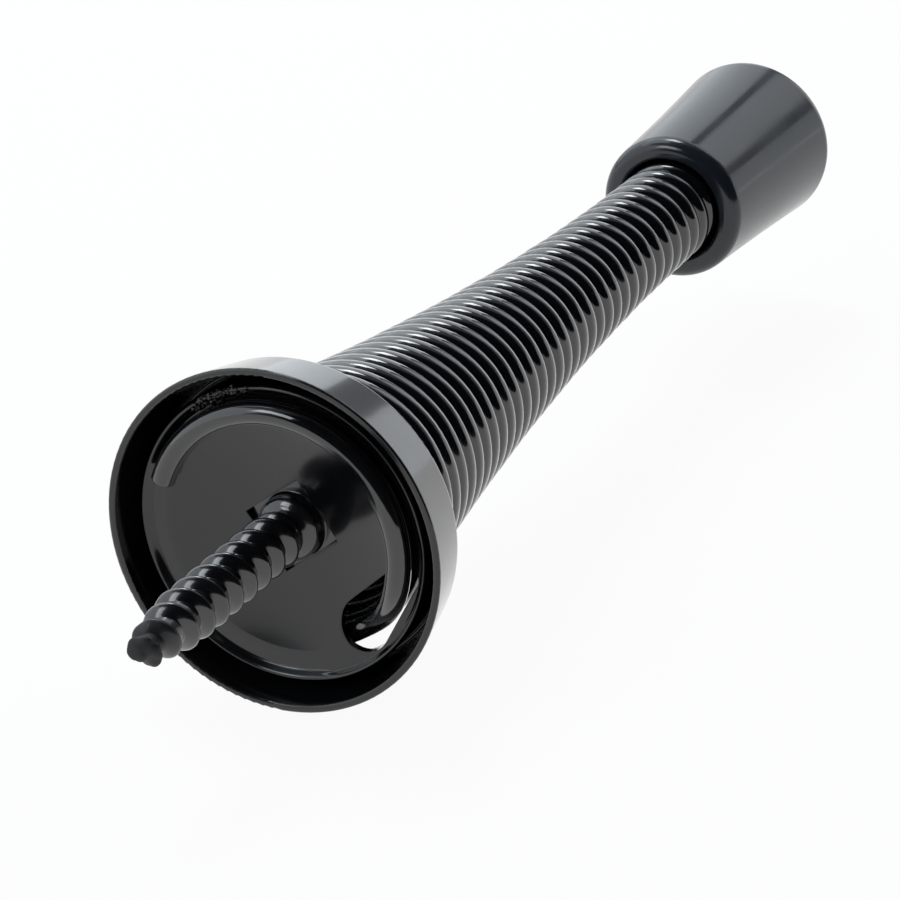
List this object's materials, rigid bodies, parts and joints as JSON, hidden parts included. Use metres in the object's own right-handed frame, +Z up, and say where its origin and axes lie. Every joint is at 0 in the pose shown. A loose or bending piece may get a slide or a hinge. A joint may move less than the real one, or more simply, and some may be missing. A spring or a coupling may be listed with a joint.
{
  "type": "spring door stop",
  "caption": "Wall door stop: a flared close-wound spring seated in a pressed round base, with a wood screw behind and a rubber bumper at the tip.",
  "frame": {"origin": "centre of the base's rim plane, on the screw's axis, where the base meets the wall", "axes": "+X out from the wall along the spring, +Z up, -X along the screw into the wall"},
  "size_m": [0.1053, 0.0254, 0.0254],
  "materials": {
    "base_enamel": "gloss",
    "spring_enamel": "gloss",
    "screw_enamel": "gloss",
    "bumper_rubber": "satin"
  },
  "bodies": {
    "base": {"mounting_base": "base_enamel", "coil_spring": "spring_enamel", "wood_screw": "screw_enamel"},
    "tip": {"rubber_bumper": "bumper_rubber"}
  },
  "joints": [
    {"name": "spring_bend", "type": "hinge", "parent": "base", "child": "tip", "pos_m": [0.03, 0, 0], "axis": [0, 0, 1], "range_deg": [-40, 40], "stiffness_Nm_per_rad": 0.12, "deforming": ["coil_spring"]}
  ]
}
